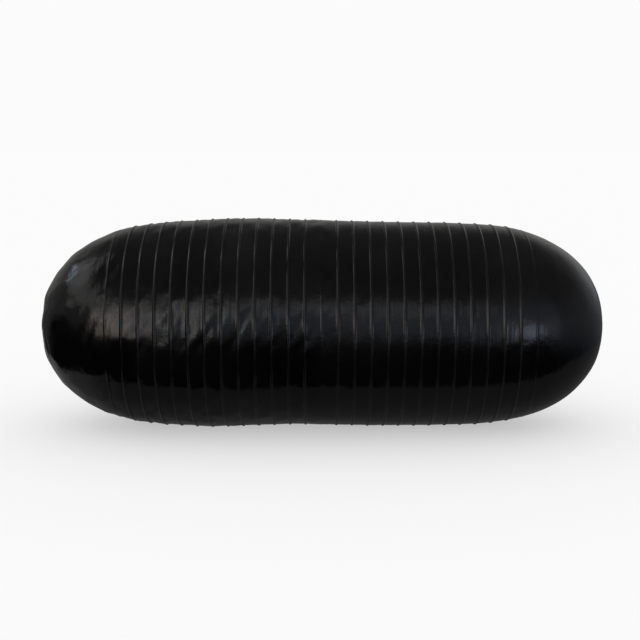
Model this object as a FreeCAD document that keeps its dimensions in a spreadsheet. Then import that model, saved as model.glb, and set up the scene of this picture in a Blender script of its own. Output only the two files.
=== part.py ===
import FreeCAD
import Part
import math
import os
import Sketcher

V = FreeCAD.Vector

# Air-filled bolster roll of soft PVC: one seamless, rotationally moulded skin with raised rings, and a filling
# valve in the middle of the +X end. The roll lies on its side along X and rests on the plane z = 0.

doc = FreeCAD.newDocument("bolster_roll")

# ----------------------------------------------------------------------------- driving dimensions (mm)
sheet = doc.addObject("Spreadsheet::Sheet", "Sizes")
DIMS = [
    ("half_length", 200.0, "pole to the middle of the roll"),
    ("skin_radius", 73.6, "outer radius of the straight part, between rings"),
    ("straight_half", 99.5, "half length of the straight part"),
    ("shoulder_radius", 156.0, "profile radius of the shoulder arc"),
    ("dome_radius", 57.2, "profile radius of the dome arc"),
    ("cap_radius", 140.0, "spherical radius of the blunt pole"),
    ("wall", 3.0, "skin thickness"),
    ("axis_height", 73.45, "roll axis above the floor; the skin is pressed flat below it"),
    ("ring_pitch", 11.1, "spacing of the raised rings along the roll"),
    ("ring_section", 1.0, "radius of a ring's half-round section"),
    ("ring_sink", 0.05, "how far the section's centre lies inside the surface"),
    ("end_ring_section", 0.45, "section radius of the faint ring at each dome"),
    ("parting_section", 0.3, "section radius of the mould's parting line"),
    ("boss_radius", 15.0, "thickened boss inside the +X pole"),
    ("boss_face", 193.0, "x of the boss's inner face"),
    ("recess_radius", 8.7, "recess for the plug's head"),
    ("recess_floor", 198.2, "x of the recess floor"),
    ("port_outer", 6.0, "outer radius of the port sleeve"),
    ("port_inner_end", 176.0, "x of the sleeve's inner end"),
    ("port_flange", 13.0, "radius of the sleeve's flange"),
    ("port_flange_thick", 2.0, "thickness of the sleeve's flange"),
    ("socket_radius", 4.05, "bore that the plug's shank presses into"),
    ("socket_floor", 187.2, "x where the socket begins to narrow"),
    ("nozzle_radius", 2.5, "bore that seats the pump's nozzle"),
    ("nozzle_mouth", 185.7, "x where the nozzle bore begins"),
    ("plug_head", 8.4, "radius of the plug's head"),
    ("plug_seat", 198.25, "x of the underside of the plug's head"),
    ("plug_rim", 199.55, "x of the top edge of the plug's rim"),
    ("plug_shank", 3.7, "radius of the shank between the sealing rings"),
    ("plug_ring", 3.99, "radius of the sealing rings"),
    ("plug_ring_pitch", 2.6, "spacing of the sealing rings"),
    ("plug_tip", 188.4, "x of the tip of the shank"),
    ("plug_tip_radius", 2.6, "radius of the tip"),
    ("notch_radius", 1.7, "finger notch in the rim of the head"),
]
for row, (alias, value, note) in enumerate(DIMS, start=1):
    sheet.set("A%d" % row, note)
    sheet.set("B%d" % row, repr(value))
    sheet.setAlias("B%d" % row, alias)
doc.recompute()
D = {alias: value for alias, value, note in DIMS}


def evaluate(text):
    """The value of one of the simple formulas below, for the starting geometry only: names, + - * / ( ) and sqrt."""
    return float(sheet.evalExpression(text))


def S(text):
    """Turns {name} in a formula into a reference to the sheet's cell."""
    out = text
    for name in sorted(D, key=len, reverse=True):
        out = out.replace("{" + name + "}", "Sizes." + name)
    return out


def origin_feature(body, role):
    for f in body.Origin.OriginFeatures:
        if f.Role == role:
            return f
    raise RuntimeError("no origin feature " + role)


def new_body(label):
    body = doc.addObject("PartDesign::Body", label)
    body.Label = label
    # The design axis is the body's own X axis, which lies at axis_height above the floor.
    body.Placement = FreeCAD.Placement(V(0, 0, D["axis_height"]), FreeCAD.Rotation())
    body.setExpression("Placement.Base.z", S("{axis_height}"))
    return body


def new_sketch(body, name, role="XZ_Plane"):
    sk = body.newObject("Sketcher::SketchObject", name)
    sk.AttachmentSupport = [(origin_feature(body, role), "")]
    sk.MapMode = "FlatFace"
    doc.recompute()
    return sk


def pin(sk, geo, pos, xe, ye, tag):
    """Fixes one sketch point at the formulas xe, ye. A formula of None leaves that coordinate to the solver."""
    if xe is not None:
        if xe == "0":
            sk.addConstraint(Sketcher.Constraint("PointOnObject", geo, pos, -2))
        else:
            n = sk.addConstraint(
                Sketcher.Constraint("DistanceX", -1, 1, geo, pos, evaluate(S(xe)))
            )
            sk.renameConstraint(n, tag + "_x")
            sk.setExpression("Constraints." + tag + "_x", S(xe))
    if ye is not None:
        if ye == "0":
            sk.addConstraint(Sketcher.Constraint("PointOnObject", geo, pos, -1))
        else:
            n = sk.addConstraint(
                Sketcher.Constraint("DistanceY", -1, 1, geo, pos, evaluate(S(ye)))
            )
            sk.renameConstraint(n, tag + "_y")
            sk.setExpression("Constraints." + tag + "_y", S(ye))


def polygon(sk, points, prefix="p"):
    """A closed polygon whose corners are pairs of formulas."""
    xy = [(evaluate(S(x)), evaluate(S(y))) for x, y in points]
    first = sk.GeometryCount
    for i in range(len(xy)):
        a, b = xy[i], xy[(i + 1) % len(xy)]
        sk.addGeometry(Part.LineSegment(V(a[0], a[1], 0), V(b[0], b[1], 0)), False)
    for i in range(len(xy)):
        j = (i + 1) % len(xy)
        sk.addConstraint(Sketcher.Constraint("Coincident", first + i, 2, first + j, 1))
    for i, (x, y) in enumerate(points):
        pin(sk, first + i, 1, x, y, "%s%d" % (prefix, i))
    return first


def circle(sk, xe, ye, re, tag):
    r = evaluate(S(re))
    g = sk.addGeometry(
        Part.Circle(V(evaluate(S(xe)), evaluate(S(ye)), 0), V(0, 0, 1), r), False
    )
    n = sk.addConstraint(Sketcher.Constraint("Radius", g, r))
    sk.renameConstraint(n, tag + "_r")
    sk.setExpression("Constraints." + tag + "_r", S(re))
    pin(sk, g, 3, xe, ye, tag)
    return g


def turn(body, sk, name, groove=False):
    kind = "PartDesign::Groove" if groove else "PartDesign::Revolution"
    f = body.newObject(kind, name)
    f.Profile = sk
    f.ReferenceAxis = (sk, ["H_Axis"])
    f.Angle = 360.0
    if not groove:
        f.Reversed = False
    doc.recompute()
    return f


def dome_angles(r0, x0, ra, rb, rc, end):
    """Angles where the shoulder meets the dome and the dome meets the cap, by Newton's method on the tangent chain."""

    def miss(a1, a2):
        # Centres, each along the shared normal from the one before.
        ax, ay = x0, r0 - ra
        bx, by = ax + (ra - rb) * math.sin(a1), ay + (ra - rb) * math.cos(a1)
        cx, cy = bx + (rb - rc) * math.sin(a2), by + (rb - rc) * math.cos(a2)
        return cx + rc - end, cy

    a1, a2 = 0.45, 1.49
    for _ in range(60):
        f1, f2 = miss(a1, a2)
        e = 1e-6
        g1, g2 = miss(a1 + e, a2)
        h1, h2 = miss(a1, a2 + e)
        a, b, c, d = (g1 - f1) / e, (h1 - f1) / e, (g2 - f2) / e, (h2 - f2) / e
        det = a * d - b * c
        a1 -= (d * f1 - b * f2) / det
        a2 -= (-c * f1 + a * f2) / det
    return a1, a2


def shell_profile(sk, inset):
    """Closed half profile of the roll: straight side, and at each end a shoulder arc, a dome arc and a blunt cap,
    all tangent. inset is how far inside the outer surface it lies, as a formula."""
    t = evaluate(S(inset)) if inset != "0" else 0.0
    r0, x0 = D["skin_radius"], D["straight_half"]
    ra, rb, rc, end = (
        D["shoulder_radius"],
        D["dome_radius"],
        D["cap_radius"],
        D["half_length"],
    )
    a1, a2 = dome_angles(r0, x0, ra, rb, rc, end)
    ax, ay = x0, r0 - ra
    bx, by = ax + (ra - rb) * math.sin(a1), ay + (ra - rb) * math.cos(a1)
    cx = bx + (rb - rc) * math.sin(a2)
    half = math.pi / 2

    def arc(cx_, cy_, r, lo, hi, side):
        # lo and hi are measured from the vertical, towards the pole
        c = Part.Circle(V(side * cx_, cy_, 0), V(0, 0, 1), r - t)
        if side > 0:
            return Part.ArcOfCircle(c, half - hi, half - lo)
        return Part.ArcOfCircle(c, half + lo, half + hi)

    top = sk.addGeometry(
        Part.LineSegment(V(-x0, r0 - t, 0), V(x0, r0 - t, 0)), False
    )
    sk.addConstraint(Sketcher.Constraint("Symmetric", top, 1, top, 2, -2))
    off = "" if inset == "0" else " - " + inset
    pin(sk, top, 2, "{straight_half}", "{skin_radius}" + off, "side_end")
    ends = []
    for side, tag in ((1, "right"), (-1, "left")):
        A = sk.addGeometry(arc(ax, ay, ra, 0.0, a1, side), False)
        B = sk.addGeometry(arc(bx, by, rb, a1, a2, side), False)
        C = sk.addGeometry(arc(cx, 0.0, rc, a2, half, side), False)
        # on the right an arc runs from the pole end (1) up to the shoulder end (2); on the left the other way
        near, far = (2, 1) if side > 0 else (1, 2)
        sk.addConstraint(
            Sketcher.Constraint("Tangent", top, 2 if side > 0 else 1, A, near)
        )
        sk.addConstraint(Sketcher.Constraint("Tangent", A, far, B, near))
        sk.addConstraint(Sketcher.Constraint("Tangent", B, far, C, near))
        for g, r, name in (
            (A, "{shoulder_radius}", "shoulder"),
            (B, "{dome_radius}", "dome"),
            (C, "{cap_radius}", "cap"),
        ):
            n = sk.addConstraint(Sketcher.Constraint("Radius", g, evaluate(S(r + off))))
            sk.renameConstraint(n, name + "_" + tag)
            sk.setExpression("Constraints." + name + "_" + tag, S(r + off))
        sk.addConstraint(Sketcher.Constraint("PointOnObject", C, 3, -1))
        pole = "{half_length}" + off
        pin(sk, C, far, pole if side > 0 else "-(" + pole + ")", "0", "pole_" + tag)
        ends.append((C, far))
    base = sk.addGeometry(
        Part.LineSegment(V(-end + t, 0, 0), V(end - t, 0, 0)), False
    )
    sk.addConstraint(Sketcher.Constraint("Coincident", base, 1, ends[1][0], ends[1][1]))
    sk.addConstraint(Sketcher.Constraint("Coincident", base, 2, ends[0][0], ends[0][1]))


# ----------------------------------------------------------------------------- 1. the moulded skin
skin = new_body("roll_skin")

sk = new_sketch(skin, "skin_outline")
shell_profile(sk, "0")
turn(skin, sk, "skin_solid")

# Raised rings: 12 full ones on each side of the plain middle band, and a faint one where each dome begins. Past the
# straight side they sit on the shoulder arc.
sk = new_sketch(skin, "ring_sections")
for side, sign in (("right", ""), ("left", "-")):
    for k in range(1, 14):
        x = "%s%d * {ring_pitch}" % (sign, k)
        if k * D["ring_pitch"] <= D["straight_half"]:
            y = "{skin_radius} - {ring_sink}"
        else:
            y = (
                "{skin_radius} - {shoulder_radius} - {ring_sink}"
                " + sqrt({shoulder_radius}^2 - (%d * {ring_pitch} - {straight_half})^2)"
                % k
            )
        r = "{ring_section}" if k < 13 else "{end_ring_section}"
        circle(sk, x, y, r, "ring_%s%d" % (side, k))
turn(skin, sk, "rings")

# Parting line left by the two halves of the mould.
sk = new_sketch(skin, "parting_section_sketch")
circle(sk, "0", "{skin_radius} - {ring_sink}", "{parting_section}", "parting")
turn(skin, sk, "parting_line")

# The air space.
sk = new_sketch(skin, "air_outline")
shell_profile(sk, "{wall}")
turn(skin, sk, "air_space", groove=True)

# Boss inside the +X pole, which holds the valve port.
sk = new_sketch(skin, "boss_section")
polygon(
    sk,
    [
        ("{boss_face}", "0"),
        ("{half_length} - 1.5", "0"),
        ("{half_length} - 1.5", "{boss_radius} + 1.5"),
        ("{boss_face} + 1.5", "{boss_radius} + 1.5"),
        ("{boss_face}", "{boss_radius}"),
    ],
)
turn(skin, sk, "port_boss")

# Recess for the plug's head, and the hole for the port sleeve.
sk = new_sketch(skin, "port_cut_section")
polygon(
    sk,
    [
        ("{boss_face} - 2", "0"),
        ("{boss_face} - 2", "{port_outer}"),
        ("{recess_floor}", "{port_outer}"),
        ("{recess_floor}", "{recess_radius}"),
        ("{half_length} + 2", "{recess_radius}"),
        ("{half_length} + 2", "0"),
    ],
)
turn(skin, sk, "port_cut", groove=True)

# The roll's own weight presses a narrow strip flat where it rests.
sk = new_sketch(skin, "rest_section", "YZ_Plane")
polygon(
    sk,
    [
        ("-40", "-{axis_height}"),
        ("40", "-{axis_height}"),
        ("40", "-{axis_height} - 12"),
        ("-40", "-{axis_height} - 12"),
    ],
)
before = skin.Shape.Volume
rest = skin.newObject("PartDesign::Pocket", "rest_flat")
rest.Profile = sk
rest.Length = 500.0
rest.Midplane = True
doc.recompute()
if not skin.Shape.Volume < before - 1.0:
    raise RuntimeError("the resting flat cut nothing")

# ----------------------------------------------------------------------------- 2. the valve port
port = new_body("valve_port")
sk = new_sketch(port, "port_section")
polygon(
    sk,
    [
        ("{port_inner_end}", "{nozzle_radius}"),
        ("{nozzle_mouth}", "{nozzle_radius}"),
        ("{socket_floor}", "{socket_radius}"),
        ("{recess_floor}", "{socket_radius}"),
        ("{recess_floor}", "{port_outer}"),
        ("{boss_face}", "{port_outer}"),
        ("{boss_face}", "{port_flange}"),
        ("{boss_face} - {port_flange_thick}", "{port_flange}"),
        ("{boss_face} - {port_flange_thick}", "{port_outer}"),
        ("{port_inner_end}", "{port_outer}"),
    ],
)
turn(port, sk, "port_sleeve")

# ----------------------------------------------------------------------------- 3. the plug
plug = new_body("valve_plug")
sk = new_sketch(plug, "plug_section")
rings = []
for k in range(3):
    c = "{plug_seat} - 2.2 - %d * {plug_ring_pitch}" % k
    rings += [
        (c + " + 0.75", "{plug_shank}"),
        (c + " + 0.2", "{plug_ring}"),
        (c + " - 0.2", "{plug_ring}"),
        (c + " - 0.75", "{plug_shank}"),
    ]
outline = [
    ("{half_length}", "0"),
    ("{plug_rim} + 0.3", "{plug_head} - 0.35"),
    ("{plug_rim}", "{plug_head}"),
    ("{plug_seat}", "{plug_head}"),
    ("{plug_seat}", "{plug_shank}"),
]
outline += rings
outline += [
    ("{plug_tip} + 1.2", "{plug_shank}"),
    ("{plug_tip}", "{plug_tip_radius}"),
    ("{plug_tip}", "0"),
]
polygon(sk, outline)
turn(plug, sk, "plug_solid")

# Finger notch at the top of the rim, to lift the head with a nail.
sk = new_sketch(plug, "notch_section", "YZ_Plane")
circle(sk, "0", "{plug_head} + 0.3", "{notch_radius}", "notch")
before = plug.Shape.Volume
notch = plug.newObject("PartDesign::Pocket", "finger_notch")
notch.Profile = sk
notch.Length = 500.0
notch.Midplane = True
doc.recompute()
if not plug.Shape.Volume < before - 0.5:
    raise RuntimeError("the finger notch cut nothing")

# ----------------------------------------------------------------------------- checks and export
doc.recompute()
bad = [
    o.Name
    for o in doc.Objects
    if "Invalid" in o.State or "Error" in o.State or not o.isValid()
]
if bad:
    raise RuntimeError("failed objects: " + ", ".join(bad))
bodies = [skin, port, plug]
for body in bodies:
    shape = body.Shape
    if shape.isNull() or not shape.isValid() or len(shape.Solids) != 1:
        raise RuntimeError(body.Label + " has no valid single solid")

os.makedirs("parts", exist_ok=True)
for body in bodies:
    body.Shape.exportStep("parts/" + body.Label + ".step")
    b = body.Shape.BoundBox
    print(
        body.Label,
        "volume_cm3 %.3f" % (body.Shape.Volume / 1000.0),
        "box %.2f %.2f %.2f to %.2f %.2f %.2f"
        % (b.XMin, b.YMin, b.ZMin, b.XMax, b.YMax, b.ZMax),
    )
for sketch in [o for o in doc.Objects if o.TypeId == "Sketcher::SketchObject"]:
    print(sketch.Name, "free degrees:", sketch.solve(), sketch.FullyConstrained)
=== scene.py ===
import math

import bpy
import numpy as np
from mathutils import Matrix, Vector


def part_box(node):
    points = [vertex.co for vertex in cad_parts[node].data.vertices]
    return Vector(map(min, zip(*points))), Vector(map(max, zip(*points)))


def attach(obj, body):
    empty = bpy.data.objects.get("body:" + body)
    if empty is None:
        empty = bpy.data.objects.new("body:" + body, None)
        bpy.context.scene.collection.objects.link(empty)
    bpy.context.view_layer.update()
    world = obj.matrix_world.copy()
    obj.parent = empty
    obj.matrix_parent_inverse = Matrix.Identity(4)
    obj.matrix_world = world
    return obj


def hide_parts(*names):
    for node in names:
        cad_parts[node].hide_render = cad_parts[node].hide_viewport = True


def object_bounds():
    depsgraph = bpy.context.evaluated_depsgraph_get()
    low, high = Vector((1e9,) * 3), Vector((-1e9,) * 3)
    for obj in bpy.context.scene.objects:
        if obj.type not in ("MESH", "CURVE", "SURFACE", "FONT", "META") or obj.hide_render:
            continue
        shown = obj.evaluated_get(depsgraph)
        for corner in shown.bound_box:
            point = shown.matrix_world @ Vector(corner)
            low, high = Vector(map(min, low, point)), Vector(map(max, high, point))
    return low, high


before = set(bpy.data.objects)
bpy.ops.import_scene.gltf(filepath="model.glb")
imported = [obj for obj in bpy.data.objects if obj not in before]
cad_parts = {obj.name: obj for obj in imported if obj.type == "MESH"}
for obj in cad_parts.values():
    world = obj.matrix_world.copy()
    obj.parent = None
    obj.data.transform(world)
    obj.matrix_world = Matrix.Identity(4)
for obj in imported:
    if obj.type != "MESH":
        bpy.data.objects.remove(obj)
CAD_BOUNDS = [[float(c) for c in p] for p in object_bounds()]

MM = 0.001
PORT_LO, PORT_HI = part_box("valve_port")
AXIS_Z = 0.5 * (PORT_LO.z + PORT_HI.z) / MM  # height of the roll's axis, mm
END = CAD_BOUNDS[1][0] / MM  # x of the valve end's pole, mm

# --------------------------------------------------------------------------------------------------- helpers


class Noise:
    """Seeded gradient noise on points of shape (..., 3), about -0.7 to 0.7, vectorised."""

    def __init__(self, seed):
        rng = np.random.RandomState(seed)
        p = rng.permutation(256)
        self.p = np.concatenate([p, p, p])
        g = rng.normal(size=(256, 3))
        self.g = g / np.linalg.norm(g, axis=1)[:, None]

    def __call__(self, P):
        P = np.asarray(P, float)
        i = np.floor(P).astype(int)
        f = P - i
        i &= 255
        u = f * f * f * (f * (f * 6 - 15) + 10)
        out = 0.0
        for dx in (0, 1):
            wx = u[..., 0] if dx else 1 - u[..., 0]
            for dy in (0, 1):
                wy = u[..., 1] if dy else 1 - u[..., 1]
                for dz in (0, 1):
                    wz = u[..., 2] if dz else 1 - u[..., 2]
                    h = self.p[
                        self.p[self.p[i[..., 0] + dx] + i[..., 1] + dy] + i[..., 2] + dz
                    ]
                    g = self.g[h]
                    d = (
                        g[..., 0] * (f[..., 0] - dx)
                        + g[..., 1] * (f[..., 1] - dy)
                        + g[..., 2] * (f[..., 2] - dz)
                    )
                    out = out + wx * wy * wz * d
        return out


def smooth(x, lo, hi):
    t = np.clip((x - lo) / (hi - lo), 0, 1)
    return t * t * (3 - 2 * t)


def grid_mesh(name, P, close_start, close_end, ring_closed=False):
    """A mesh from an array P (rows, columns, 3) in metres, closed round the columns. close_start and close_end are
    single points that close the two ends, or None. ring_closed joins the last row to the first."""
    rows, cols = P.shape[:2]
    verts = P.reshape(-1, 3)
    idx = np.arange(rows * cols).reshape(rows, cols)
    nxt = np.roll(idx, -1, axis=1)
    a, b = idx[:-1], idx[1:]
    c, d = nxt[1:], nxt[:-1]
    faces = [np.stack([a, d, c, b], -1).reshape(-1, 4)]
    if ring_closed:
        faces.append(
            np.stack([idx[-1], nxt[-1], nxt[0], idx[0]], -1).reshape(-1, 4)
        )
    quads = np.concatenate(faces)
    tris = []
    extra = []
    n = len(verts)
    if close_start is not None:
        extra.append(close_start)
        tris.append(np.stack([np.full(cols, n), nxt[0], idx[0]], -1))
        n += 1
    if close_end is not None:
        extra.append(close_end)
        tris.append(np.stack([np.full(cols, n), idx[-1], nxt[-1]], -1))
        n += 1
    if extra:
        verts = np.concatenate([verts, np.array(extra)])
    tri = np.concatenate(tris) if tris else np.zeros((0, 3), int)
    me = bpy.data.meshes.new(name)
    me.vertices.add(len(verts))
    me.vertices.foreach_set("co", verts.astype(np.float32).ravel())
    loops = np.concatenate([quads.ravel(), tri.ravel()]).astype(np.int32)
    sizes = np.concatenate(
        [np.full(len(quads), 4), np.full(len(tri), 3)]
    ).astype(np.int32)
    starts = np.concatenate([[0], np.cumsum(sizes)[:-1]]).astype(np.int32)
    me.loops.add(len(loops))
    me.loops.foreach_set("vertex_index", loops)
    me.polygons.add(len(sizes))
    me.polygons.foreach_set("loop_start", starts)
    me.polygons.foreach_set("loop_total", sizes)
    me.polygons.foreach_set("use_smooth", np.ones(len(sizes), bool))
    me.update(calc_edges=True)
    me.validate()
    ob = bpy.data.objects.new(name, me)
    bpy.context.scene.collection.objects.link(ob)
    return ob


# --------------------------------------------------------------------------------------------------- profile
SKIN_R = 73.6
STRAIGHT = 99.5
SHOULDER, DOME, CAP = 156.0, 57.2, 140.0
PITCH = 11.05
RINGS = 12
WALL = 3.0


def dome_chain(end):
    """Centres and angles of the tangent arcs between the straight side and a pole at x = end."""
    r0, x0, ra, rb, rc = SKIN_R, STRAIGHT, SHOULDER, DOME, CAP

    def miss(a1, a2):
        bx, by = x0 + (ra - rb) * math.sin(a1), r0 - ra + (ra - rb) * math.cos(a1)
        cx, cy = bx + (rb - rc) * math.sin(a2), by + (rb - rc) * math.cos(a2)
        return cx + rc - end, cy

    a1, a2 = 0.45, 1.49
    for _ in range(60):
        f1, f2 = miss(a1, a2)
        e = 1e-6
        g1, g2 = miss(a1 + e, a2)
        h1, h2 = miss(a1, a2 + e)
        a, b, c, d = (g1 - f1) / e, (h1 - f1) / e, (g2 - f2) / e, (h2 - f2) / e
        det = a * d - b * c
        a1 -= (d * f1 - b * f2) / det
        a2 -= (-c * f1 + a * f2) / det
    return a1, a2


class Profile:
    """Points (x, r) and outward normals along one half of the outer surface, by arc length from the middle."""

    def __init__(self, end):
        a1, a2 = dome_chain(end)
        r0, x0, ra, rb, rc = SKIN_R, STRAIGHT, SHOULDER, DOME, CAP
        ax, ay = x0, r0 - ra
        bx, by = ax + (ra - rb) * math.sin(a1), ay + (ra - rb) * math.cos(a1)
        cx = bx + (rb - rc) * math.sin(a2)
        self.parts = [
            (x0, None),
            (ra * a1, (ax, ay, ra, 0.0)),
            (rb * (a2 - a1), (bx, by, rb, a1)),
            (rc * (math.pi / 2 - a2), (cx, 0.0, rc, a2)),
        ]
        self.length = sum(p[0] for p in self.parts)

    def at(self, s):
        """(x, r, nx, nr) at arc length s."""
        for i, (n, arc) in enumerate(self.parts):
            if s <= n or i == 3:
                if arc is None:
                    return s, SKIN_R, 0.0, 1.0
                cx, cy, r, a = arc
                t = a + min(s, n) / r
                return cx + r * math.sin(t), cy + r * math.cos(t), math.sin(t), math.cos(t)
            s -= n

    def s_of_x(self, x):
        lo, hi = 0.0, self.length
        for _ in range(60):
            mid = 0.5 * (lo + hi)
            if self.at(mid)[0] < x:
                lo = mid
            else:
                hi = mid
        return 0.5 * (lo + hi)

    def s_of_r(self, r):
        lo, hi = 0.0, self.length
        for _ in range(60):
            mid = 0.5 * (lo + hi)
            if self.at(mid)[1] > r:
                lo = mid
            else:
                hi = mid
        return 0.5 * (lo + hi)


right = Profile(END)
left = Profile(END - 2.3)  # the blind end settled a little shorter than the valve end

# Signed arc lengths of the rings: 12 full ones on each side, and a faint one where the dome begins.
ring_s, ring_size = [], []
for k in range(1, RINGS + 2):
    for side, prof in ((1, right), (-1, left)):
        ring_s.append(side * prof.s_of_x(k * PITCH))
        ring_size.append(1.0 if k <= RINGS else 0.33)
order = np.argsort(ring_s)
ring_s = np.array(ring_s)[order]
ring_size = np.array(ring_size)[order]

# --------------------------------------------------------------------------------------------------- rows of the skin
COLS = 176
NEAR = [-1.45, -1.12, -0.82, -0.53, -0.26, 0.0, 0.26, 0.53, 0.82, 1.12, 1.45]
LINE = [-0.75, -0.42, -0.2, 0.0, 0.2, 0.42, 0.75]

marks = []  # (s, list of offsets)
for s in ring_s:
    marks.append((float(s), NEAR))
marks.append((0.0, LINE))
marks.sort()

rows_s = []
lip_s = right.s_of_r(9.5)
for i, (s, offs) in enumerate(marks):
    if i == 0:
        start = -left.length + 1.2
        n = int(round((s + offs[0] - start) / 2.15))
        rows_s += list(np.linspace(start, s + offs[0], n + 1)[:-1])
    rows_s += [s + o for o in offs]
    if i + 1 < len(marks):
        a, b = s + offs[-1], marks[i + 1][0] + marks[i + 1][1][0]
        n = max(2, int(round((b - a) / 1.62)))
        rows_s += list(np.linspace(a, b, n + 1)[1:-1])
    else:
        a = s + offs[-1]
        n = int(round((lip_s - a) / 2.15))
        rows_s += list(np.linspace(a, lip_s, n + 1)[1:])
rows_s = np.array(rows_s)

base = np.array(
    [
        (lambda q, sg: (sg * q[0], q[1], sg * q[2], q[3]))(
            (right if s >= 0 else left).at(abs(s)), 1 if s >= 0 else -1
        )
        for s in rows_s
    ]
)
theta = np.linspace(0, 2 * math.pi, COLS, endpoint=False)
# theta 0 points to +Z, and grows towards +Y
ct, st = np.cos(theta), np.sin(theta)

X0 = base[:, 0][:, None] + 0 * theta
R0 = base[:, 1][:, None] + 0 * theta
NX = base[:, 2][:, None] + 0 * theta
NR = base[:, 3][:, None] + 0 * theta
S0 = rows_s[:, None] + 0 * theta
CT = ct[None, :] + 0 * X0
ST = st[None, :] + 0 * X0

# Surface position for noise lookups, mm
PX, PY, PZ = X0, R0 * ST, R0 * CT


def field(noise, ax, ay, az, off=0.0):
    return noise(np.stack([PX / ax + off, PY / ay + off * 1.7, PZ / az - off], -1))


n1, n2, n3, n4, n5 = (Noise(s) for s in (11, 23, 37, 41, 53))

# 1. rings: a low rounded bead, a little uneven in height and not quite straight
ring_amount = np.zeros_like(X0)
height = np.zeros_like(X0)
for j, (s, size) in enumerate(zip(ring_s, ring_size)):
    near = np.abs(rows_s - s) < 3.2
    if not near.any():
        continue
    o = n4(
        np.stack(
            [0 * theta + j * 3.1, ct * 2.2, st * 2.2],
            -1,
        )
    )
    o2 = n4(np.stack([0 * theta + j * 5.3 + 40, ct * 7.0, st * 7.0], -1))
    wobble = 0.16 * o[None, :]
    d = S0[near] - s
    h = 0.62 * size * (1 + 0.20 * o2[None, :] + 0.20 * o[None, :])
    half = 1.28 if size > 0.5 else 1.2
    u = np.clip(np.abs(d - wobble * 0.6) / half, 0, 1)
    bead = np.cos(0.5 * math.pi * u) ** 2
    moat = np.exp(-(((np.abs(d) - 1.9) / 0.6) ** 2))
    height[near] += h * bead - 0.04 * size * moat
    ring_amount[near] = np.maximum(ring_amount[near], bead * min(1.0, size * 1.2))

# 2. parting line of the mould: a fine sharp ridge that comes and goes
near = np.abs(rows_s) < 1.0
flash = 0.16 * (0.75 + 0.9 * n5(np.stack([0 * theta, ct * 5.0, st * 5.0], -1)))[None, :]
u = np.clip(np.abs(S0[near]) / 0.75, 0, 1)
height[near] += flash * np.cos(0.5 * math.pi * u) ** 2
parting_amount = np.zeros_like(X0)
parting_amount[near] = (1 - u) ** 1.3

# 3. the soft skin between the rings: it bows out a trifle, and is creased where the air has gone slack
between = np.zeros_like(X0)
edges = np.concatenate([[-left.length], ring_s, [right.length]])
for a, b in zip(edges[:-1], edges[1:]):
    m = (rows_s >= a) & (rows_s < b)
    t = (S0[m] - a) / (b - a)
    between[m] = 1 - (2 * t - 1) ** 4
body = 1 - smooth(np.abs(X0), 128, 168)  # 1 on the ringed part
height += 0.05 * between * body

front_left = smooth(-X0, -62, 55) * (0.55 + 0.45 * smooth(-ST, -0.2, 0.7))
slack = 0.26 + 0.74 * front_left  # where the creases are strongest
top_mid = np.exp(-(((X0 - 4) / 22) ** 2)) * np.exp(-(((CT - 0.93) / 0.10) ** 2))
slack = np.clip(slack + 0.6 * top_mid, 0, 1.1)
patch = np.clip(0.72 + 1.1 * field(n5, 46, 46, 46, 3.0), 0.2, 1.3)
patch = np.maximum(patch, 0.85 * smooth(-X0, 95, 125) * smooth(-ST, 0.2, 0.8))

w1 = field(n1, 19, 21, 21)
warp = 3.2 * field(n5, 15, 15, 15, 9.0)
LEAN = 0.5  # the creases lean towards +X as they climb


def crumple(noise, short, long, off=0.0, twist=1.0):
    """Noise drawn out along the leaning direction of the creases."""
    a = PX - LEAN * PZ + twist * warp + off
    b = PZ + LEAN * PX * 0.4 - off * 1.3
    return noise(np.stack([a / short, (PY + 2.0 * off) / long, b / long], -1))


c1 = crumple(n3, 7.6, 17.0)
c2 = crumple(n2, 4.6, 9.5, 31.0, 0.8)
c3 = crumple(n4, 11.0, 17.0, -57.0, 1.2)
c4 = crumple(n1, 3.6, 15.0, 71.0, 0.6)  # fine ripples, where the skin is slackest
crease = np.exp(-((c3 / 0.07) ** 2))
crease2 = np.exp(-((c2 / 0.06) ** 2))
held = 1 - 0.75 * ring_amount  # the beads stiffen the skin
ringed = held * slack * (
    (0.40 + 0.70 * patch) * 0.92 * c1 + 0.44 * c2 * patch + 0.13 * c4 * front_left + 0.30 * w1 - 0.15 * crease * patch - 0.04 * crease2 * patch
)
# crumpled skin of the domes: larger, curved facets
k1 = field(n2, 15, 15, 15, 21.0)
k2 = field(n4, 8.5, 8.5, 8.5, 33.0)
fold = np.exp(-(((k1 + 0.35 * k2) / 0.07) ** 2))
blind = smooth(-X0, 100, 150)
domed = (0.22 + 0.78 * blind * smooth(-ST, -0.6, 0.3)) * (0.85 * k1 + 0.42 * k2 - 0.16 * fold)
creased = np.where(X0 < 0, 1 - smooth(-X0, 150, 170), body)
height += creased * ringed + (1 - creased) * domed
# long soft dents, on the domes too
height += 0.55 * field(n1, 70, 70, 70, 2.0) + 0.10 * field(n3, 30, 34, 34, 8.0)

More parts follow.
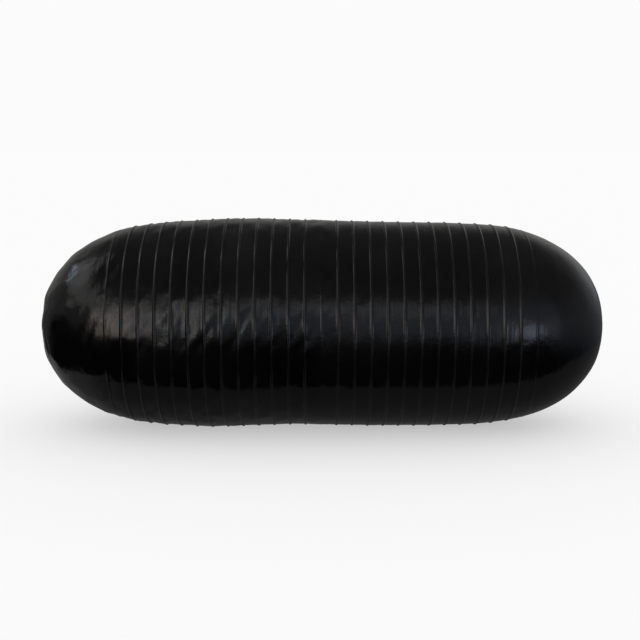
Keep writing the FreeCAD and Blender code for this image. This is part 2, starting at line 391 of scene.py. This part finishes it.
# 4. thickness of the roll: fuller left of the middle, leaner at the right shoulder
FAT = [
    (-204, 1.1), (-198, 1.0), (-195, 0.6), (-192, -0.06), (-188, -0.5), (-184, -0.95), (-180, -1.15), (-175, -1.27),
    (-170, -1.15), (-160, -0.36), (-150, -0.04), (-140, -0.09), (-130, -0.5), (-120, -0.68), (-110, -0.7),
    (-100, -0.3), (-90, 0.19), (-80, 0.74), (-70, 1.05), (-60, 1.0), (-50, 0.88), (-40, 0.75), (-30, 0.45),
    (-20, 0.23), (-10, 0.09), (0, 0.03), (10, -0.15), (20, -0.19), (30, -0.26), (40, -0.38), (50, -0.45), (60, -0.6),
    (70, -0.65), (80, -0.75), (90, -0.95), (100, -1.35), (110, -1.4), (120, -1.05), (130, -0.55), (140, 0.0),
    (150, 0.32), (160, 0.38), (170, -0.18), (175, -0.42), (180, -0.38), (184, -0.36), (188, -0.2), (192, 0.15),
    (195, 0.65), (198, 1.1), (206, 1.3),
]
fat_x, fat_d = np.array(FAT, float).T
k = np.exp(-0.5 * (np.arange(-12, 13) / 3.2) ** 2)
xs = np.arange(-230, 231.0)
fat = np.convolve(np.interp(xs, fat_x, fat_d), k / k.sum(), "same")
height += np.interp(X0, xs, fat)

# the valve end: everything dies away towards the recess, whose edge is exact
calm = smooth(R0, 9.0, 26.0)
calm = np.where(X0 > 0, calm, 1.0)
height = height * calm

XS = X0 + NX * height
RS = R0 + NR * height
YS = RS * ST
ZS = RS * CT

# 5. settling: the middle sits a hair higher, the right end lower, and both domes hang slightly
SAG = [
    (-204, -0.75), (-190, -0.6), (-180, -0.32), (-170, -0.26), (-160, -0.36), (-150, -0.45), (-130, -0.34),
    (-110, -0.36), (-100, -0.2), (-90, -0.1), (-80, 0.0), (-70, 0.23), (-60, 0.45), (-50, 0.6), (-40, 0.68),
    (-30, 0.82), (-20, 0.85), (-10, 0.68), (0, 0.42), (10, 0.2), (20, 0.0), (30, -0.35), (40, -0.64), (50, -0.78),
    (60, -0.85), (70, -0.86), (80, -0.78), (90, -0.76), (100, -0.92), (110, -1.02), (120, -0.92), (130, -0.68),
    (140, -0.64), (150, -0.68), (160, -0.75), (170, -0.68), (180, -0.55), (190, -0.6), (206, -0.8),
]
sag_x, sag_z = np.array(SAG, float).T
sag = np.convolve(np.interp(xs, sag_x, sag_z), k / k.sum(), "same")
ZS = ZS + np.interp(X0, xs, sag) * np.where(X0 > 0, smooth(R0, 9.0, 30.0), 1.0)
hang = 0.012 * smooth(np.abs(X0), 118, 182) * np.where(X0 > 0, smooth(R0, 10, 24), 1.0)
XS = XS - np.sign(X0) * hang * ZS

# 6. resting: the skin flattens on the floor
Z_W = ZS + AXIS_Z
kk = 0.7
h = np.clip(0.5 + 0.5 * Z_W / kk, 0, 1)
Z_W = np.where(Z_W > kk, Z_W, np.maximum(0, Z_W * h + kk * h * (1 - h)))
outer = np.stack([XS, YS, Z_W], -1)

# 7. the valve end's recess, its hole, then the inner surface back to the blind end
floor_x = PORT_HI.x / MM  # the port's face is flush with the recess floor
edge = [
    (END - 0.30, 9.15),
    (END - 0.345, 8.95),
    (END - 0.46, 8.80),
    (END - 0.68, 8.71),
    (END - 1.10, 8.70),
    (floor_x + 0.30, 8.70),
    (floor_x + 0.10, 8.64),
    (floor_x + 0.0, 8.45),
    (floor_x + 0.0, 7.30),
    (floor_x + 0.0, 6.22),
    (floor_x - 0.06, 6.07),
    (floor_x - 0.25, 6.02),
    (193.0, 6.02),
    (193.0, 8.0),
    (193.0, 15.0),
    (194.4, 16.6),
]
inner = []
for s in np.linspace(right.s_of_r(17.2), 0, 26):
    x, r, nx, nr = right.at(s)
    inner.append((x - WALL * nx, r - WALL * nr))
for s in np.linspace(0, left.length - 4, 30)[1:]:
    x, r, nx, nr = left.at(s)
    inner.append((-(x - WALL * nx), r - WALL * nr))
tail = []
for x, r in edge:
    tail.append(np.stack([0 * theta + x, r * st, r * ct + AXIS_Z], -1))
for x, r in inner:
    z = r * ct + AXIS_Z
    z = np.maximum(z, WALL * 0.9)
    tail.append(np.stack([0 * theta + x, r * st, z], -1))
P = np.concatenate([outer, np.array(tail)])
pole_z = AXIS_Z + float(np.interp(-198, xs, sag))
x_pole = float(outer[0, :, 0].mean()) - 0.004
skin = grid_mesh(
    "soft_skin",
    P * MM,
    (x_pole * MM, 0.0, pole_z * MM),
    (-(END - 2.3 - WALL) * MM, 0.0, AXIS_Z * MM),
)

# point attributes that the material reads
def add_attribute(ob, name, values, fill=0.0):
    full = np.full(len(ob.data.vertices), fill, np.float32)
    full[: values.size] = values.ravel()
    at = ob.data.attributes.new(name, "FLOAT", "POINT")
    at.data.foreach_set("value", full)


add_attribute(skin, "ring", ring_amount)
add_attribute(skin, "parting", parting_amount)
add_attribute(skin, "dome", 1 - body)
crease_amount = np.clip(crease * patch * slack, 0, 1) * body
add_attribute(skin, "crease", crease_amount)

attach(skin, "roll")
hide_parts("roll_skin")

# --------------------------------------------------------------------------------------------------- valve pieces


def lathe(name, profile, cols, shape=None, ring=False):
    """Turns (x, r) pairs, in mm, round the roll's axis. shape changes the radius by angle and point. A profile that
    starts and ends on the axis is closed by points there; ring joins its last point to its first."""
    th = np.linspace(0, 2 * math.pi, cols, endpoint=False)
    start = end = None
    pts = list(profile)
    if not ring:
        if pts[0][1] == 0:
            start = (pts[0][0] * MM, 0.0, AXIS_Z * MM)
            pts = pts[1:]
        if pts[-1][1] == 0:
            end = (pts[-1][0] * MM, 0.0, AXIS_Z * MM)
            pts = pts[:-1]
    out = []
    for x, r in pts:
        xx = np.full(cols, float(x))
        rr = np.full(cols, float(r))
        if shape:
            xx, rr = shape(th, xx, rr)
        out.append(np.stack([xx, rr * np.sin(th), rr * np.cos(th) + AXIS_Z], -1))
    return grid_mesh(name, np.array(out) * MM, start, end, ring)


def rounded(points, radius, steps=4):
    """Rounds the corners of an (x, r) polyline with small arcs. radius is one number or one per point."""
    out = []
    n = len(points)
    for i, (x, r) in enumerate(points):
        rad = radius[i] if isinstance(radius, (list, tuple)) else radius
        if i in (0, n - 1) or rad == 0:
            out.append((x, r))
            continue
        p = np.array((x, r), float)
        a = np.array(points[i - 1], float) - p
        b = np.array(points[i + 1], float) - p
        la, lb = np.linalg.norm(a), np.linalg.norm(b)
        cut = min(rad, 0.45 * la, 0.45 * lb)
        p0, p1 = p + a / la * cut, p + b / lb * cut
        for t in np.linspace(0, 1, steps + 1):
            q = (1 - t) ** 2 * p0 + 2 * t * (1 - t) * p + t * t * p1
            out.append((float(q[0]), float(q[1])))
    return out


def densify(points, step):
    out = [points[0]]
    for a, b in zip(points[:-1], points[1:]):
        n = max(1, int(math.ceil(math.hypot(b[0] - a[0], b[1] - a[1]) / step)))
        for t in np.linspace(0, 1, n + 1)[1:]:
            out.append((a[0] + (b[0] - a[0]) * t, a[1] + (b[1] - a[1]) * t))
    return out


PLUG_LO, PLUG_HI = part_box("valve_plug")
HEAD_R = (PLUG_HI.y - PLUG_LO.y) / 2 / MM
SEAT = floor_x + 0.05
TIP = PLUG_LO.x / MM
CROWN = PLUG_HI.x / MM

cap = []
for r in (0.7, 1.0, 1.3, 2.2, 3.2, 4.2, 5.0):
    cap.append((CROWN - r * r / 280.0, r))
# a fine moulded ring in the head, and the gate's dimple in the middle
cap = [(CROWN - 0.16, 0.0), (CROWN - 0.15, 0.35), (CROWN - 0.05, 0.62)] + cap[1:]
groove = [(5.35, 0.0), (5.55, -0.03), (5.68, -0.16), (5.85, -0.22), (6.02, -0.16), (6.15, -0.03), (6.4, 0.0), (6.9, 0.0)]
cap += [(CROWN - r * r / 280.0 + dz, r) for r, dz in groove]
rim = [
    (CROWN - 0.20, 7.35),
    (CROWN - 0.24, 7.75),
    (CROWN - 0.31, 8.02),
    (CROWN - 0.44, 8.24),
    (CROWN - 0.62, 8.36),
    (CROWN - 0.85, HEAD_R),
    (SEAT + 0.35, HEAD_R),
    (SEAT + 0.12, HEAD_R - 0.06),
    (SEAT + 0.0, HEAD_R - 0.25),
    (SEAT + 0.0, 6.0),
    (SEAT + 0.0, 4.05),
    (SEAT - 0.08, 3.82),
    (SEAT - 0.3, 3.70),
]
shank = []
for kx in range(3):
    c = SEAT - 2.2 - 2.6 * kx
    shank += [(c + 0.95, 3.70), (c + 0.75, 3.70)]
    for a in np.linspace(-1, 1, 9):
        shank.append((c - 0.72 * a, 3.70 + 0.285 * (1 - a * a) ** 0.7))
    shank += [(c - 0.78, 3.70)]
tip = rounded(
    [(TIP + 1.9, 3.70), (TIP + 1.2, 3.70), (TIP, 2.60), (TIP, 0.0)], [0, 0.25, 0.3, 0], 4
)


def notch(th, xx, rr):
    """The finger notch in the head's rim, at the top."""
    a = (th + math.pi) % (2 * math.pi) - math.pi
    c, rad = HEAD_R + 0.3, 1.7
    inside = (np.abs(c * np.sin(a)) < rad) & (np.cos(a) > 0)
    cutr = np.where(
        inside, c * np.cos(a) - np.sqrt(np.maximum(0, rad**2 - (c * np.sin(a)) ** 2)), 99.0
    )
    head = xx[0] > SEAT - 0.01
    if head and rr[0] > 6.3:
        # rows nearer the middle stop a little before the cut, so that its edge stays crisp
        lim = cutr - 0.022 * (HEAD_R - rr)
        rr = np.where(rr > lim, lim, rr)
    return xx, rr


plug_profile = cap + rim + shank + tip
plug = lathe("plug_moulding", plug_profile, 256, notch)
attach(plug, "plug")
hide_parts("valve_plug")

port_in = PORT_LO.x / MM
flange_r = (PORT_HI.y - PORT_LO.y) / 2 / MM
port_profile = [
    (port_in, 2.5),
    (floor_x - 12.5, 2.5),
    (floor_x - 11.0, 4.05),
    (floor_x - 0.02, 4.05),
    (floor_x - 0.02, 5.99),
    (193.0, 5.99),
    (193.0, flange_r),
    (191.0, flange_r),
    (191.0, 6.0),
    (port_in, 6.0),
]
loop = rounded(
    [port_profile[-1]] + port_profile + [port_profile[0]],
    [0, 0.25, 0.3, 0.3, 0.22, 0.12, 0.15, 0.3, 0.3, 0.3, 0.4, 0],
    3,
)[1:-1]
port = lathe("port_sleeve", densify(loop, 1.6), 160, None, True)
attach(port, "roll")
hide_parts("valve_port")

# --------------------------------------------------------------------------------------------------- materials


class Tree:
    """Short-hand for building a node tree."""

    def __init__(self, tree):
        self.t = tree
        tree.nodes.clear()

    def node(self, kind, **props):
        n = self.t.nodes.new(kind)
        for key, v in props.items():
            setattr(n, key, v)
        return n

    def set(self, node, **values):
        for key, v in values.items():
            s = node.inputs[key.replace("_", " ")] if key.replace("_", " ") in node.inputs else node.inputs[key]
            if isinstance(v, bpy.types.NodeSocket):
                self.t.links.new(v, s)
            else:
                s.default_value = v
        return node

    def link(self, a, b):
        self.t.links.new(a, b)

    def math(self, op, a, b=None, c=None, clamp=False):
        n = self.node("ShaderNodeMath", operation=op, use_clamp=clamp)
        for i, v in enumerate((a, b, c)):
            if v is None:
                continue
            if isinstance(v, bpy.types.NodeSocket):
                self.link(v, n.inputs[i])
            else:
                n.inputs[i].default_value = v
        return n.outputs[0]

    def ramp(self, value, lo, hi, out_lo=0.0, out_hi=1.0, kind="SMOOTHSTEP"):
        n = self.node("ShaderNodeMapRange", interpolation_type=kind)
        n.clamp = True
        if isinstance(value, bpy.types.NodeSocket):
            self.link(value, n.inputs["Value"])
        n.inputs["From Min"].default_value = lo
        n.inputs["From Max"].default_value = hi
        n.inputs["To Min"].default_value = out_lo
        n.inputs["To Max"].default_value = out_hi
        return n.outputs["Result"]

    def noise(self, vector, scale, detail=2.0, rough=0.5, distortion=0.0):
        n = self.node("ShaderNodeTexNoise")
        self.link(vector, n.inputs["Vector"])
        n.inputs["Scale"].default_value = scale
        n.inputs["Detail"].default_value = detail
        n.inputs["Roughness"].default_value = rough
        n.inputs["Distortion"].default_value = distortion
        return n.outputs["Fac"]

    def attribute(self, name):
        return self.node("ShaderNodeAttribute", attribute_name=name).outputs["Fac"]


def new_material(name):
    m = bpy.data.materials.new(name)
    m.use_nodes = True
    t = Tree(m.node_tree)
    out = t.node("ShaderNodeOutputMaterial")
    bsdf = t.node("ShaderNodeBsdfPrincipled")
    t.link(bsdf.outputs[0], out.inputs["Surface"])
    return m, t, bsdf


# glossy black PVC, turned mould lines running round it, faint haze and handling marks
mat, t, bsdf = new_material("moulded_pvc_skin")
coord = t.node("ShaderNodeTexCoord").outputs["Object"]
sep = t.node("ShaderNodeSeparateXYZ")
t.link(coord, sep.inputs[0])
ring = t.attribute("ring")
crease_at = t.attribute("crease")

haze = t.noise(coord, 14.0, 3.0, 0.55, 0.3)
smudge = t.noise(coord, 55.0, 4.0, 0.6, 0.8)
grain = t.noise(coord, 900.0, 2.0, 0.5)

# lines left by the turned mould: narrow bands along the axis, broken up by noise
line_v = t.node("ShaderNodeCombineXYZ")
t.link(t.math("MULTIPLY", sep.outputs["X"], 1250.0), line_v.inputs["X"])
t.link(t.math("MULTIPLY", sep.outputs["Y"], 14.0), line_v.inputs["Y"])
t.link(t.math("MULTIPLY", sep.outputs["Z"], 14.0), line_v.inputs["Z"])
lines = t.noise(line_v.outputs[0], 1.0, 2.0, 0.6)
line_v2 = t.node("ShaderNodeCombineXYZ")
t.link(t.math("MULTIPLY", sep.outputs["X"], 420.0), line_v2.inputs["X"])
t.link(t.math("MULTIPLY", sep.outputs["Y"], 9.0), line_v2.inputs["Y"])
t.link(t.math("MULTIPLY", sep.outputs["Z"], 9.0), line_v2.inputs["Z"])
lines2 = t.noise(line_v2.outputs[0], 1.0, 1.0, 0.5)

colour = t.node("ShaderNodeMix", data_type="RGBA")
t.link(t.ramp(haze, 0.35, 0.72), colour.inputs["Factor"])
colour.inputs["A"].default_value = (0.0016, 0.0016, 0.0019, 1)
colour.inputs["B"].default_value = (0.0040, 0.0039, 0.0037, 1)
worn = t.node("ShaderNodeMix", data_type="RGBA")
t.link(t.math("MULTIPLY", t.ramp(ring, 0.55, 1.0), 0.75), worn.inputs["Factor"])
t.link(colour.outputs["Result"], worn.inputs["A"])
worn.inputs["B"].default_value = (0.0048, 0.0048, 0.0050, 1)
dust = t.node("ShaderNodeMix", data_type="RGBA")
speck = t.noise(coord, 1500.0, 0.0, 0.5)
t.link(t.math("MULTIPLY", t.ramp(speck, 0.80, 0.86), 0.25), dust.inputs["Factor"])
t.link(worn.outputs["Result"], dust.inputs["A"])
dust.inputs["B"].default_value = (0.035, 0.035, 0.034, 1)
t.link(dust.outputs["Result"], bsdf.inputs["Base Color"])

rough = t.ramp(haze, 0.3, 0.75, 0.125, 0.19)
rough = t.math("ADD", rough, t.ramp(smudge, 0.52, 0.78, 0.0, 0.07))
rough = t.math("ADD", rough, t.math("MULTIPLY", ring, 0.13))
t.link(rough, bsdf.inputs["Roughness"])
bsdf.inputs["IOR"].default_value = 1.5
bsdf.inputs["Coat Weight"].default_value = 0.0

turned = t.math("SUBTRACT", 1.0, t.math("MULTIPLY", t.attribute("dome"), 0.7))
bump1 = t.node("ShaderNodeBump")
bump1.inputs["Distance"].default_value = 0.00006
bump1.inputs["Strength"].default_value = 0.8
t.link(t.math("MULTIPLY", lines, turned), bump1.inputs["Height"])
bump2 = t.node("ShaderNodeBump")
bump2.inputs["Distance"].default_value = 0.00017
bump2.inputs["Strength"].default_value = 0.9
t.link(t.math("MULTIPLY", lines2, turned), bump2.inputs["Height"])
t.link(bump1.outputs[0], bump2.inputs["Normal"])
bump3 = t.node("ShaderNodeBump")
bump3.inputs["Distance"].default_value = 0.00002
bump3.inputs["Strength"].default_value = 0.5
t.link(grain, bump3.inputs["Height"])
t.link(bump2.outputs[0], bump3.inputs["Normal"])
bump4 = t.node("ShaderNodeBump")
bump4.inputs["Distance"].default_value = 0.00035
bump4.inputs["Strength"].default_value = 0.35
t.link(t.noise(coord, 260.0, 2.0, 0.5, 0.6), bump4.inputs["Height"])
t.link(bump3.outputs[0], bump4.inputs["Normal"])
t.link(bump4.outputs[0], bsdf.inputs["Normal"])
skin.data.materials.append(mat)

# satin moulded plastic of the plug
mat, t, bsdf = new_material("plug_plastic")
coord = t.node("ShaderNodeTexCoord").outputs["Object"]
colour = t.node("ShaderNodeMix", data_type="RGBA")
t.link(t.ramp(t.noise(coord, 180.0, 3.0, 0.6), 0.35, 0.7), colour.inputs["Factor"])
colour.inputs["A"].default_value = (0.018, 0.018, 0.019, 1)
colour.inputs["B"].default_value = (0.028, 0.028, 0.029, 1)
t.link(colour.outputs["Result"], bsdf.inputs["Base Color"])
t.link(
    t.math(
        "ADD",
        t.ramp(t.noise(coord, 320.0, 3.0, 0.6), 0.3, 0.75, 0.32, 0.46),
        t.ramp(t.noise(coord, 60.0, 2.0, 0.5), 0.5, 0.8, 0.0, 0.06),
    ),
    bsdf.inputs["Roughness"],
)
b = t.node("ShaderNodeBump")
b.inputs["Distance"].default_value = 0.00003
b.inputs["Strength"].default_value = 0.7
t.link(t.noise(coord, 4200.0, 2.0, 0.6), b.inputs["Height"])
t.link(b.outputs[0], bsdf.inputs["Normal"])
plug.data.materials.append(mat)

# the sleeve: a harder grade, a little greyer, with a drier surface
mat, t, bsdf = new_material("port_plastic")
coord = t.node("ShaderNodeTexCoord").outputs["Object"]
colour = t.node("ShaderNodeMix", data_type="RGBA")
t.link(t.ramp(t.noise(coord, 150.0, 3.0, 0.6), 0.35, 0.7), colour.inputs["Factor"])
colour.inputs["A"].default_value = (0.030, 0.030, 0.031, 1)
colour.inputs["B"].default_value = (0.045, 0.045, 0.046, 1)
t.link(colour.outputs["Result"], bsdf.inputs["Base Color"])
t.link(t.ramp(t.noise(coord, 260.0, 3.0, 0.6), 0.3, 0.75, 0.38, 0.52), bsdf.inputs["Roughness"])
b = t.node("ShaderNodeBump")
b.inputs["Distance"].default_value = 0.00003
b.inputs["Strength"].default_value = 0.7
t.link(t.noise(coord, 3600.0, 2.0, 0.6), b.inputs["Height"])
t.link(b.outputs[0], bsdf.inputs["Normal"])
port.data.materials.append(mat)

# --------------------------------------------------------------------------------------------------- stage
scene = bpy.context.scene
scene.view_settings.view_transform = "Standard"
scene.view_settings.look = "None"
scene.view_settings.exposure = 0.0
scene.view_settings.gamma = 1.0


def plane(name, x0, x1, y0, y1, z):
    me = bpy.data.meshes.new(name)
    me.from_pydata([(x0, y0, z), (x1, y0, z), (x1, y1, z), (x0, y1, z)], [], [(0, 1, 2, 3)])
    me.update()
    ob = bpy.data.objects.new(name, me)
    scene.collection.objects.link(ob)
    return ob


# the pale floor; it is matt, and the roll's polish mirrors the glowing sheet below instead of it
floor = plane("floor", -30, 30, -30, 30, -0.0002)
floor.visible_glossy = False
floor.visible_diffuse = False
m = bpy.data.materials.new("pale_floor")
m.use_nodes = True
t = Tree(m.node_tree)
out = t.node("ShaderNodeOutputMaterial")
matt = t.node("ShaderNodeBsdfDiffuse")
matt.inputs["Color"].default_value = (0.92, 0.92, 0.92, 1)
glow = t.node("ShaderNodeEmission")
glow.inputs["Color"].default_value = (1, 1, 1, 1)
glow.inputs["Strength"].default_value = 0.965
mix = t.node("ShaderNodeMixShader")
mix.inputs[0].default_value = 0.5
t.link(matt.outputs[0], mix.inputs[1])
t.link(glow.outputs[0], mix.inputs[2])
t.link(mix.outputs[0], out.inputs["Surface"])
floor.data.materials.append(m)

# a glowing sheet under the roll that only its polish sees: a painted reflection standing in for a table, brighter
# under the left end
outline = [
    (-0.213, -0.066), (-0.168, -0.080), (-0.1, -0.083), (0.15, -0.083), (0.202, -0.075), (0.267, -0.062),
    (0.333, -0.004), (0.45, 0.15), (0.60, 0.60), (0.60, 1.60), (-0.70, 1.60), (-0.60, 0.60), (-0.305, 0.10),
    (-0.26, 0.014), (-0.235, -0.045),
]
me = bpy.data.meshes.new("reflection_glow_sheet")
me.from_pydata([(x, y, -0.0001) for x, y in outline], [], [tuple(range(len(outline)))])
me.update()
sheet = bpy.data.objects.new("reflection_glow_sheet", me)
scene.collection.objects.link(sheet)
sheet.visible_camera = False
sheet.visible_diffuse = False
sheet.visible_shadow = False
sheet.visible_transmission = False
m = bpy.data.materials.new("reflection_glow_sheet")
m.use_nodes = True
t = Tree(m.node_tree)
out = t.node("ShaderNodeOutputMaterial")
em = t.node("ShaderNodeEmission")
em.inputs["Color"].default_value = (1, 1, 1, 1)
pos = t.node("ShaderNodeTexCoord").outputs["Object"]
xyz = t.node("ShaderNodeSeparateXYZ")
t.link(pos, xyz.inputs[0])
# painted reflection: the sheet's glow, brighter towards -X under the left dome
t.link(t.ramp(xyz.outputs["X"], -0.26, -0.13, 0.21, 0.09), em.inputs["Strength"])
t.link(em.outputs[0], out.inputs["Surface"])
sheet.data.materials.append(m)

# surroundings: even white light for the floor, and soft light panels for the polish to mirror
world = bpy.data.worlds.new("studio")
scene.world = world
world.use_nodes = True
t = Tree(world.node_tree)
out = t.node("ShaderNodeOutputWorld")
bg = t.node("ShaderNodeBackground")
t.link(bg.outputs[0], out.inputs["Surface"])
direction = t.node("ShaderNodeTexCoord").outputs["Generated"]
sep = t.node("ShaderNodeSeparateXYZ")
t.link(direction, sep.inputs[0])
dx, dy, dz = sep.outputs
el = t.math("MULTIPLY", t.math("ARCSINE", dz), 57.29578)
az = t.math("MULTIPLY", t.math("ARCTAN2", dx, t.math("MULTIPLY", dy, -1.0)), 57.29578)


def window(az0, az1, saz, el0, el1, s_lo, s_hi, value):
    """A soft-edged panel between two azimuths and two elevations, in degrees. Azimuth 0 is the front, 90 is +X."""
    a = t.math(
        "MULTIPLY",
        t.ramp(az, az0 - saz, az0 + saz),
        t.ramp(az, az1 - saz, az1 + saz, 1.0, 0.0),
    )
    e = t.math(
        "MULTIPLY",
        t.ramp(el, el0 - s_lo, el0 + s_lo),
        t.ramp(el, el1 - s_hi, el1 + s_hi, 1.0, 0.0),
    )
    return t.math("MULTIPLY", t.math("MULTIPLY", a, e), value)


def add(*values):
    total = values[0]
    for v in values[1:]:
        total = t.math("ADD", total, v)
    return total


def bar(value, centre, half, depth):
    """1, with a soft dip round centre: a glazing bar."""
    up = t.ramp(value, centre - half, centre, 0.0, depth)
    down = t.ramp(value, centre, centre + half, 0.0, depth)
    return t.math("SUBTRACT", 1.0, t.math("SUBTRACT", up, down))


def times(*values):
    total = values[0]
    for v in values[1:]:
        total = t.math("MULTIPLY", total, v)
    return total


ceiling = t.ramp(el, 5, 62, 0.118, 0.060)
left_sector = times(t.ramp(az, -122, -104), t.ramp(az, -62, -52, 1.0, 0.0))
low_right = t.ramp(el, -26, 5, 0.008, 1.0)
low_left = t.ramp(el, -3, 6, 0.002, 1.0)
low = add(low_right, times(left_sector, t.math("SUBTRACT", low_left, low_right)))
el_big = t.math("SUBTRACT", el, t.ramp(az, -54, -20, 5.0, 0.0))
big = times(
    t.ramp(az, -55, -50),
    t.ramp(az, -14.5, -9.5, 1.0, 0.0),
    t.ramp(el_big, -9, 3),
    t.ramp(el, 12, 42, 1.0, 0.0),
    1.75,
    bar(az, -47, 3.2, 0.7),
    bar(az, -35, 3.0, 0.7),
    bar(az, -22.5, 3.2, 0.75),
    bar(el, 13, 3.0, 0.45),
    t.ramp(t.noise(direction, 7.5, 2.5, 0.55, 0.4), 0.38, 0.60, 0.50, 1.25),  # what the window looks out on
)
neutral = add(
    times(ceiling, low),
    big,
    window(-12, -6, 2.5, 11, 27, 6, 7, 0.62),
    window(-7, 14, 4, 17, 30, 6, 7, 0.32),
    window(-125, -96, 6, 29, 50, 6, 7, 0.62),
    window(-98, -62, 6, 20, 42, 4, 9, 0.50),
    window(-64, -54, 3, 9, 28, 4, 5, 0.55),
    window(112, 165, 12, 8, 34, 8, 12, 0.12),
    times(t.ramp(dy, 0.35, 0.85), t.ramp(el, -4, 6), t.ramp(el, 16, 46, 1.0, 0.0), 0.15),
)
cool = add(
    window(27, 44, 6, -8, 4, 6, 6, 1.6),
    window(-12, 58, 8, -4, 29, 9, 12, 0.135),
    window(14, 62, 8, -10, 7, 8, 10, 0.20),
    window(55, 150, 12, -24, 24, 12, 12, 0.065),
    window(-123, -114, 3, 25, 33, 3, 3, 1.35),
    window(-12, 62, 8, -9, 22, 8, 14, 0.05),
)
warm = window(-52, -27, 5, -6, 20, 5, 8, 0.30)


def tint(value, rgb):
    n = t.node("ShaderNodeVectorMath", operation="SCALE")
    n.inputs[0].default_value = rgb
    t.link(value, n.inputs["Scale"])
    return n.outputs[0]


def vadd(a, b):
    n = t.node("ShaderNodeVectorMath", operation="ADD")
    t.link(a, n.inputs[0])
    t.link(b, n.inputs[1])
    return n.outputs[0]


mirrored = vadd(
    vadd(tint(neutral, (1.0, 0.995, 0.98)), tint(cool, (0.82, 0.92, 1.22))),
    tint(warm, (1.5, 1.0, 0.55)),
)
even = t.math("ADD", t.ramp(el, -12, 12, 0.02, 1.06), 0.0)
path = t.node("ShaderNodeLightPath")
choose = t.node("ShaderNodeMix", data_type="RGBA")
t.link(path.outputs["Is Glossy Ray"], choose.inputs["Factor"])
white = t.node("ShaderNodeCombineXYZ")
for i in range(3):
    t.link(even, white.inputs[i])
t.link(white.outputs[0], choose.inputs["A"])
t.link(mirrored, choose.inputs["B"])
backdrop = t.node("ShaderNodeMix", data_type="RGBA")
t.link(path.outputs["Is Camera Ray"], backdrop.inputs["Factor"])
t.link(choose.outputs["Result"], backdrop.inputs["A"])
backdrop.inputs["B"].default_value = (0.965, 0.965, 0.965, 1)
t.link(backdrop.outputs["Result"], bg.inputs["Color"])
bg.inputs["Strength"].default_value = 1.0

# --------------------------------------------------------------------------------------------------- camera
ELEV = math.radians(9.0)
FOCAL_PX = 1115.0
PX_PER_MM = 1.3825
dist = FOCAL_PX / PX_PER_MM * MM
centre = Vector((0, 0, AXIS_Z * MM))
TURN = math.radians(0.30)  # the camera stands a little to the left of square on
back = Vector((-math.sin(TURN) * math.cos(ELEV), -math.cos(TURN) * math.cos(ELEV), math.sin(ELEV)))
rightward = Vector((math.cos(TURN), -math.sin(TURN), 0))
upward = rightward.cross(-back)
cam_data = bpy.data.cameras.new("camera")
cam_data.sensor_width = 36.0
cam_data.lens = FOCAL_PX * 36.0 / 640.0
cam = bpy.data.objects.new("camera", cam_data)
scene.collection.objects.link(cam)
cam.location = centre + back * dist
aim = centre + upward * (2.6 / PX_PER_MM * MM) - rightward * (0.8 / PX_PER_MM * MM)
look = (aim - cam.location).normalized()
zc = -look
xc = rightward
yc = zc.cross(xc).normalized()
xc = yc.cross(zc).normalized()
roll = math.radians(0.0)
cam.matrix_world = Matrix(
    (
        (xc.x, yc.x, zc.x, cam.location.x),
        (xc.y, yc.y, zc.y, cam.location.y),
        (xc.z, yc.z, zc.z, cam.location.z),
        (0, 0, 0, 1),
    )
) @ Matrix.Rotation(roll, 4, "Z")
scene.camera = cam
